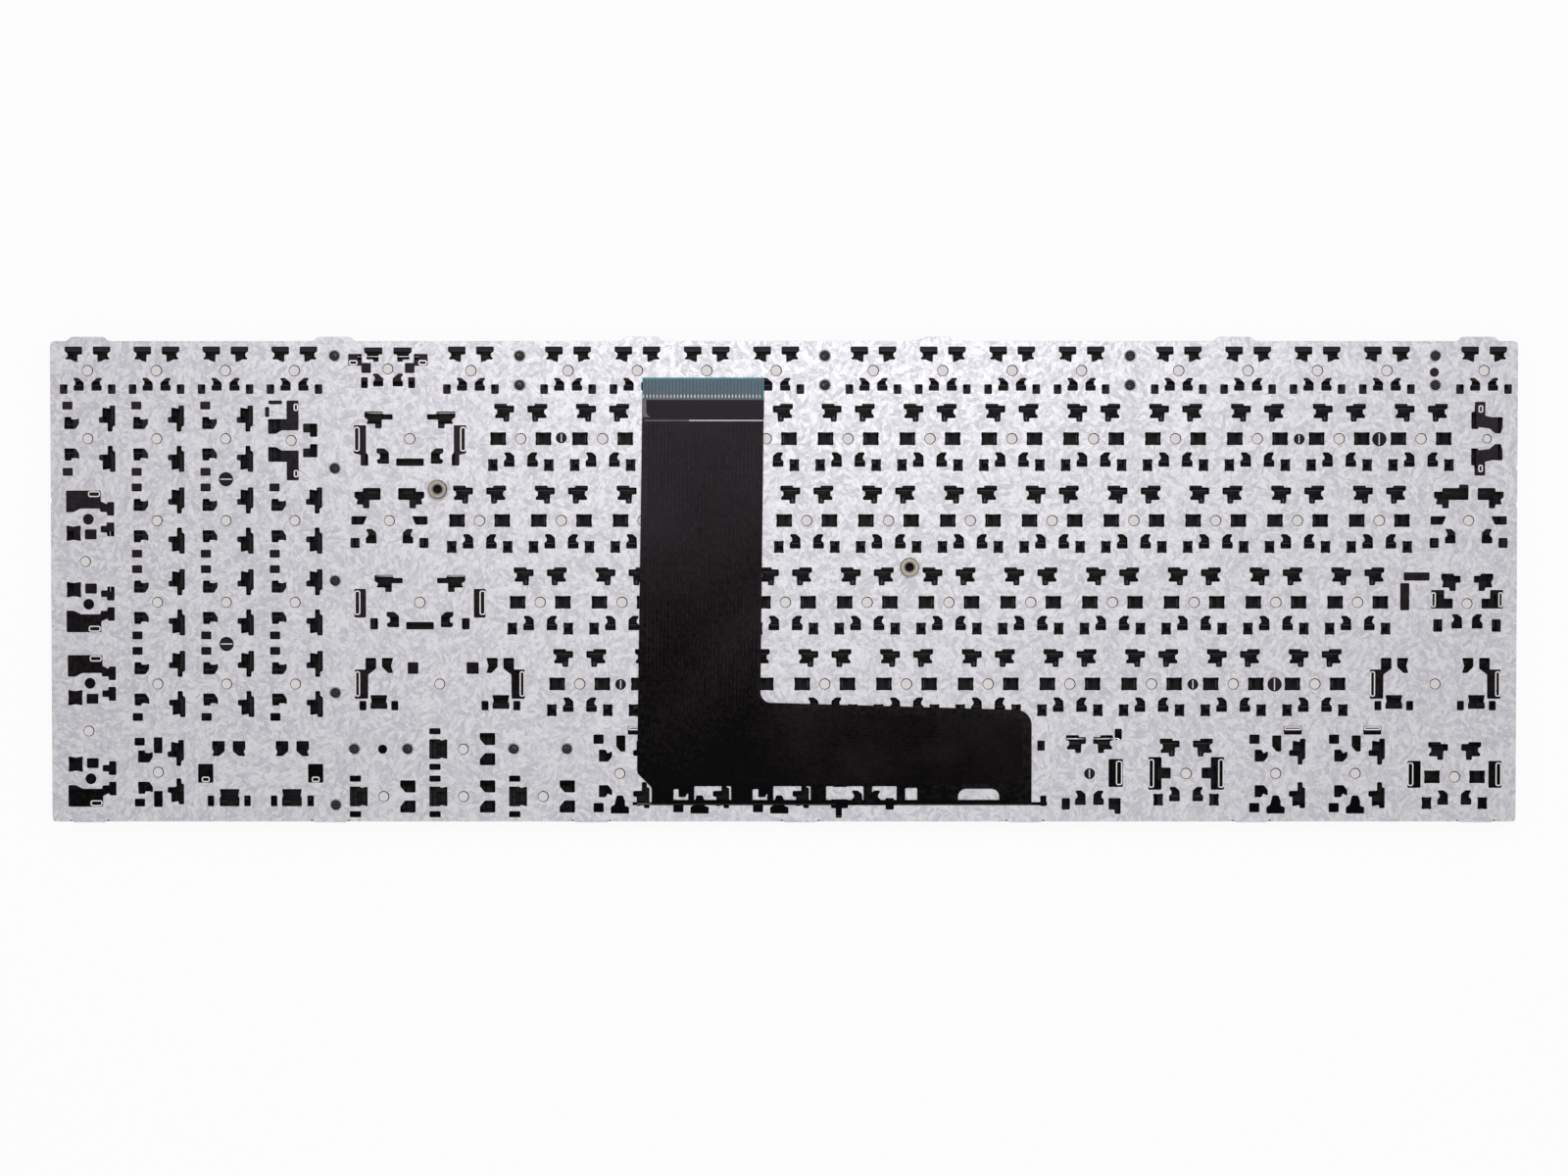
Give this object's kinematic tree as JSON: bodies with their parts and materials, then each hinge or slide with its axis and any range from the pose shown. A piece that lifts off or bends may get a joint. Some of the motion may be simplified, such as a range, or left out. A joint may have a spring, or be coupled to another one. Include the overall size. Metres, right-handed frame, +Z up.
{
  "type": "laptop replacement keyboard",
  "caption": "Flat laptop keyboard module lying face down: slotted steel back plate with folded film tail, threaded standoffs, keycaps that travel on folding links and domes.",
  "frame": {"origin": "on the floor under the middle of the keyboard's box, the keycaps facing down", "axes": "+X towards the Escape side along the rows, +Y towards the function row, +Z up out of the steel back plate"},
  "size_m": [0.3408, 0.113, 0.007],
  "materials": {
    "galvanised_steel": "zinc-coated sheet with a fine spangle",
    "nickel_plate": "turned brass, nickel plated",
    "circuit_film": "printed polyester film",
    "clear_film": "milky polyester film",
    "stiffener_film": "blue-green stiffener film",
    "black_plastic": "fine-grained moulded plastic",
    "link_plastic": "moulded plastic",
    "dome_rubber": "milky silicone",
    "steel_wire": "bright drawn wire",
    "key_plastic": "fine-grained black keycap"
  },
  "bodies": {
    "base": {"back_plate": "galvanised_steel", "bezel_frame": "black_plastic", "edge_caps": "key_plastic", "folding_links": "link_plastic", "function_row_caps": "key_plastic", "lower_circuit_film": "circuit_film", "number_pad_caps": "key_plastic", "rubber_domes": "dome_rubber", "spacer_film": "clear_film", "stabiliser_wires": "steel_wire", "tail_stiffener": "stiffener_film", "threaded_standoffs": "nickel_plate", "upper_circuit_film": "circuit_film"},
    "key_space": {"key_space": "key_plastic"},
    "key_0": {"key_0": "key_plastic"},
    "key_1": {"key_1": "key_plastic"},
    "key_2": {"key_2": "key_plastic"},
    "key_3": {"key_3": "key_plastic"},
    "key_4": {"key_4": "key_plastic"},
    "key_5": {"key_5": "key_plastic"},
    "key_6": {"key_6": "key_plastic"},
    "key_7": {"key_7": "key_plastic"},
    "key_8": {"key_8": "key_plastic"},
    "key_9": {"key_9": "key_plastic"},
    "key_a": {"key_a": "key_plastic"},
    "key_b": {"key_b": "key_plastic"},
    "key_c": {"key_c": "key_plastic"},
    "key_comma": {"key_comma": "key_plastic"},
    "key_d": {"key_d": "key_plastic"},
    "key_e": {"key_e": "key_plastic"},
    "key_equals": {"key_equals": "key_plastic"},
    "key_f": {"key_f": "key_plastic"},
    "key_g": {"key_g": "key_plastic"},
    "key_h": {"key_h": "key_plastic"},
    "key_i": {"key_i": "key_plastic"},
    "key_j": {"key_j": "key_plastic"},
    "key_k": {"key_k": "key_plastic"},
    "key_l": {"key_l": "key_plastic"},
    "key_left_bracket": {"key_left_bracket": "key_plastic"},
    "key_m": {"key_m": "key_plastic"},
    "key_minus": {"key_minus": "key_plastic"},
    "key_n": {"key_n": "key_plastic"},
    "key_o": {"key_o": "key_plastic"},
    "key_p": {"key_p": "key_plastic"},
    "key_period": {"key_period": "key_plastic"},
    "key_q": {"key_q": "key_plastic"},
    "key_quote": {"key_quote": "key_plastic"},
    "key_r": {"key_r": "key_plastic"},
    "key_right_bracket": {"key_right_bracket": "key_plastic"},
    "key_s": {"key_s": "key_plastic"},
    "key_semicolon": {"key_semicolon": "key_plastic"},
    "key_slash": {"key_slash": "key_plastic"},
    "key_t": {"key_t": "key_plastic"},
    "key_u": {"key_u": "key_plastic"},
    "key_v": {"key_v": "key_plastic"},
    "key_w": {"key_w": "key_plastic"},
    "key_x": {"key_x": "key_plastic"},
    "key_y": {"key_y": "key_plastic"},
    "key_z": {"key_z": "key_plastic"},
    "space_wire": {"space_wire": "steel_wire"}
  },
  "joints": [
    {"name": "key_space_press", "type": "slide", "parent": "base", "child": "key_space", "axis": [0, 0, 1], "range_m": [0, 0.0018], "stiffness_N_per_m": 200, "springref_m": -0.0015, "deforming": ["rubber_domes", "folding_links"]},
    {"name": "key_0_press", "type": "slide", "parent": "base", "child": "key_0", "axis": [0, 0, 1], "range_m": [0, 0.0018], "stiffness_N_per_m": 200, "springref_m": -0.0015, "deforming": ["rubber_domes", "folding_links"]},
    {"name": "key_1_press", "type": "slide", "parent": "base", "child": "key_1", "axis": [0, 0, 1], "range_m": [0, 0.0018], "stiffness_N_per_m": 200, "springref_m": -0.0015, "deforming": ["rubber_domes", "folding_links"]},
    {"name": "key_2_press", "type": "slide", "parent": "base", "child": "key_2", "axis": [0, 0, 1], "range_m": [0, 0.0018], "stiffness_N_per_m": 200, "springref_m": -0.0015, "deforming": ["rubber_domes", "folding_links"]},
    {"name": "key_3_press", "type": "slide", "parent": "base", "child": "key_3", "axis": [0, 0, 1], "range_m": [0, 0.0018], "stiffness_N_per_m": 200, "springref_m": -0.0015, "deforming": ["rubber_domes", "folding_links"]},
    {"name": "key_4_press", "type": "slide", "parent": "base", "child": "key_4", "axis": [0, 0, 1], "range_m": [0, 0.0018], "stiffness_N_per_m": 200, "springref_m": -0.0015, "deforming": ["rubber_domes", "folding_links"]},
    {"name": "key_5_press", "type": "slide", "parent": "base", "child": "key_5", "axis": [0, 0, 1], "range_m": [0, 0.0018], "stiffness_N_per_m": 200, "springref_m": -0.0015, "deforming": ["rubber_domes", "folding_links"]},
    {"name": "key_6_press", "type": "slide", "parent": "base", "child": "key_6", "axis": [0, 0, 1], "range_m": [0, 0.0018], "stiffness_N_per_m": 200, "springref_m": -0.0015, "deforming": ["rubber_domes", "folding_links"]},
    {"name": "key_7_press", "type": "slide", "parent": "base", "child": "key_7", "axis": [0, 0, 1], "range_m": [0, 0.0018], "stiffness_N_per_m": 200, "springref_m": -0.0015, "deforming": ["rubber_domes", "folding_links"]},
    {"name": "key_8_press", "type": "slide", "parent": "base", "child": "key_8", "axis": [0, 0, 1], "range_m": [0, 0.0018], "stiffness_N_per_m": 200, "springref_m": -0.0015, "deforming": ["rubber_domes", "folding_links"]},
    {"name": "key_9_press", "type": "slide", "parent": "base", "child": "key_9", "axis": [0, 0, 1], "range_m": [0, 0.0018], "stiffness_N_per_m": 200, "springref_m": -0.0015, "deforming": ["rubber_domes", "folding_links"]},
    {"name": "key_a_press", "type": "slide", "parent": "base", "child": "key_a", "axis": [0, 0, 1], "range_m": [0, 0.0018], "stiffness_N_per_m": 200, "springref_m": -0.0015, "deforming": ["rubber_domes", "folding_links"]},
    {"name": "key_b_press", "type": "slide", "parent": "base", "child": "key_b", "axis": [0, 0, 1], "range_m": [0, 0.0018], "stiffness_N_per_m": 200, "springref_m": -0.0015, "deforming": ["rubber_domes", "folding_links"]},
    {"name": "key_c_press", "type": "slide", "parent": "base", "child": "key_c", "axis": [0, 0, 1], "range_m": [0, 0.0018], "stiffness_N_per_m": 200, "springref_m": -0.0015, "deforming": ["rubber_domes", "folding_links"]},
    {"name": "key_comma_press", "type": "slide", "parent": "base", "child": "key_comma", "axis": [0, 0, 1], "range_m": [0, 0.0018], "stiffness_N_per_m": 200, "springref_m": -0.0015, "deforming": ["rubber_domes", "folding_links"]},
    {"name": "key_d_press", "type": "slide", "parent": "base", "child": "key_d", "axis": [0, 0, 1], "range_m": [0, 0.0018], "stiffness_N_per_m": 200, "springref_m": -0.0015, "deforming": ["rubber_domes", "folding_links"]},
    {"name": "key_e_press", "type": "slide", "parent": "base", "child": "key_e", "axis": [0, 0, 1], "range_m": [0, 0.0018], "stiffness_N_per_m": 200, "springref_m": -0.0015, "deforming": ["rubber_domes", "folding_links"]},
    {"name": "key_equals_press", "type": "slide", "parent": "base", "child": "key_equals", "axis": [0, 0, 1], "range_m": [0, 0.0018], "stiffness_N_per_m": 200, "springref_m": -0.0015, "deforming": ["rubber_domes", "folding_links"]},
    {"name": "key_f_press", "type": "slide", "parent": "base", "child": "key_f", "axis": [0, 0, 1], "range_m": [0, 0.0018], "stiffness_N_per_m": 200, "springref_m": -0.0015, "deforming": ["rubber_domes", "folding_links"]},
    {"name": "key_g_press", "type": "slide", "parent": "base", "child": "key_g", "axis": [0, 0, 1], "range_m": [0, 0.0018], "stiffness_N_per_m": 200, "springref_m": -0.0015, "deforming": ["rubber_domes", "folding_links"]},
    {"name": "key_h_press", "type": "slide", "parent": "base", "child": "key_h", "axis": [0, 0, 1], "range_m": [0, 0.0018], "stiffness_N_per_m": 200, "springref_m": -0.0015, "deforming": ["rubber_domes", "folding_links"]},
    {"name": "key_i_press", "type": "slide", "parent": "base", "child": "key_i", "axis": [0, 0, 1], "range_m": [0, 0.0018], "stiffness_N_per_m": 200, "springref_m": -0.0015, "deforming": ["rubber_domes", "folding_links"]},
    {"name": "key_j_press", "type": "slide", "parent": "base", "child": "key_j", "axis": [0, 0, 1], "range_m": [0, 0.0018], "stiffness_N_per_m": 200, "springref_m": -0.0015, "deforming": ["rubber_domes", "folding_links"]},
    {"name": "key_k_press", "type": "slide", "parent": "base", "child": "key_k", "axis": [0, 0, 1], "range_m": [0, 0.0018], "stiffness_N_per_m": 200, "springref_m": -0.0015, "deforming": ["rubber_domes", "folding_links"]},
    {"name": "key_l_press", "type": "slide", "parent": "base", "child": "key_l", "axis": [0, 0, 1], "range_m": [0, 0.0018], "stiffness_N_per_m": 200, "springref_m": -0.0015, "deforming": ["rubber_domes", "folding_links"]},
    {"name": "key_left_bracket_press", "type": "slide", "parent": "base", "child": "key_left_bracket", "axis": [0, 0, 1], "range_m": [0, 0.0018], "stiffness_N_per_m": 200, "springref_m": -0.0015, "deforming": ["rubber_domes", "folding_links"]},
    {"name": "key_m_press", "type": "slide", "parent": "base", "child": "key_m", "axis": [0, 0, 1], "range_m": [0, 0.0018], "stiffness_N_per_m": 200, "springref_m": -0.0015, "deforming": ["rubber_domes", "folding_links"]},
    {"name": "key_minus_press", "type": "slide", "parent": "base", "child": "key_minus", "axis": [0, 0, 1], "range_m": [0, 0.0018], "stiffness_N_per_m": 200, "springref_m": -0.0015, "deforming": ["rubber_domes", "folding_links"]},
    {"name": "key_n_press", "type": "slide", "parent": "base", "child": "key_n", "axis": [0, 0, 1], "range_m": [0, 0.0018], "stiffness_N_per_m": 200, "springref_m": -0.0015, "deforming": ["rubber_domes", "folding_links"]},
    {"name": "key_o_press", "type": "slide", "parent": "base", "child": "key_o", "axis": [0, 0, 1], "range_m": [0, 0.0018], "stiffness_N_per_m": 200, "springref_m": -0.0015, "deforming": ["rubber_domes", "folding_links"]},
    {"name": "key_p_press", "type": "slide", "parent": "base", "child": "key_p", "axis": [0, 0, 1], "range_m": [0, 0.0018], "stiffness_N_per_m": 200, "springref_m": -0.0015, "deforming": ["rubber_domes", "folding_links"]},
    {"name": "key_period_press", "type": "slide", "parent": "base", "child": "key_period", "axis": [0, 0, 1], "range_m": [0, 0.0018], "stiffness_N_per_m": 200, "springref_m": -0.0015, "deforming": ["rubber_domes", "folding_links"]},
    {"name": "key_q_press", "type": "slide", "parent": "base", "child": "key_q", "axis": [0, 0, 1], "range_m": [0, 0.0018], "stiffness_N_per_m": 200, "springref_m": -0.0015, "deforming": ["rubber_domes", "folding_links"]},
    {"name": "key_quote_press", "type": "slide", "parent": "base", "child": "key_quote", "axis": [0, 0, 1], "range_m": [0, 0.0018], "stiffness_N_per_m": 200, "springref_m": -0.0015, "deforming": ["rubber_domes", "folding_links"]},
    {"name": "key_r_press", "type": "slide", "parent": "base", "child": "key_r", "axis": [0, 0, 1], "range_m": [0, 0.0018], "stiffness_N_per_m": 200, "springref_m": -0.0015, "deforming": ["rubber_domes", "folding_links"]},
    {"name": "key_right_bracket_press", "type": "slide", "parent": "base", "child": "key_right_bracket", "axis": [0, 0, 1], "range_m": [0, 0.0018], "stiffness_N_per_m": 200, "springref_m": -0.0015, "deforming": ["rubber_domes", "folding_links"]},
    {"name": "key_s_press", "type": "slide", "parent": "base", "child": "key_s", "axis": [0, 0, 1], "range_m": [0, 0.0018], "stiffness_N_per_m": 200, "springref_m": -0.0015, "deforming": ["rubber_domes", "folding_links"]},
    {"name": "key_semicolon_press", "type": "slide", "parent": "base", "child": "key_semicolon", "axis": [0, 0, 1], "range_m": [0, 0.0018], "stiffness_N_per_m": 200, "springref_m": -0.0015, "deforming": ["rubber_domes", "folding_links"]},
    {"name": "key_slash_press", "type": "slide", "parent": "base", "child": "key_slash", "axis": [0, 0, 1], "range_m": [0, 0.0018], "stiffness_N_per_m": 200, "springref_m": -0.0015, "deforming": ["rubber_domes", "folding_links"]},
    {"name": "key_t_press", "type": "slide", "parent": "base", "child": "key_t", "axis": [0, 0, 1], "range_m": [0, 0.0018], "stiffness_N_per_m": 200, "springref_m": -0.0015, "deforming": ["rubber_domes", "folding_links"]},
    {"name": "key_u_press", "type": "slide", "parent": "base", "child": "key_u", "axis": [0, 0, 1], "range_m": [0, 0.0018], "stiffness_N_per_m": 200, "springref_m": -0.0015, "deforming": ["rubber_domes", "folding_links"]},
    {"name": "key_v_press", "type": "slide", "parent": "base", "child": "key_v", "axis": [0, 0, 1], "range_m": [0, 0.0018], "stiffness_N_per_m": 200, "springref_m": -0.0015, "deforming": ["rubber_domes", "folding_links"]},
    {"name": "key_w_press", "type": "slide", "parent": "base", "child": "key_w", "axis": [0, 0, 1], "range_m": [0, 0.0018], "stiffness_N_per_m": 200, "springref_m": -0.0015, "deforming": ["rubber_domes", "folding_links"]},
    {"name": "key_x_press", "type": "slide", "parent": "base", "child": "key_x", "axis": [0, 0, 1], "range_m": [0, 0.0018], "stiffness_N_per_m": 200, "springref_m": -0.0015, "deforming": ["rubber_domes", "folding_links"]},
    {"name": "key_y_press", "type": "slide", "parent": "base", "child": "key_y", "axis": [0, 0, 1], "range_m": [0, 0.0018], "stiffness_N_per_m": 200, "springref_m": -0.0015, "deforming": ["rubber_domes", "folding_links"]},
    {"name": "key_z_press", "type": "slide", "parent": "base", "child": "key_z", "axis": [0, 0, 1], "range_m": [0, 0.0018], "stiffness_N_per_m": 200, "springref_m": -0.0015, "deforming": ["rubber_domes", "folding_links"]},
    {"name": "space_wire_turn", "type": "hinge", "parent": "base", "child": "space_wire", "pos_m": [0.0451, -0.04266, 0.0038], "axis": [1, 0, 0], "range_deg": [0, 17.89], "deforming": ["rubber_domes", "folding_links"]}
  ],
  "couplings": [
    {"joint": "space_wire_turn", "follows": "key_space_press", "rad_per_m": 173.4}
  ]
}
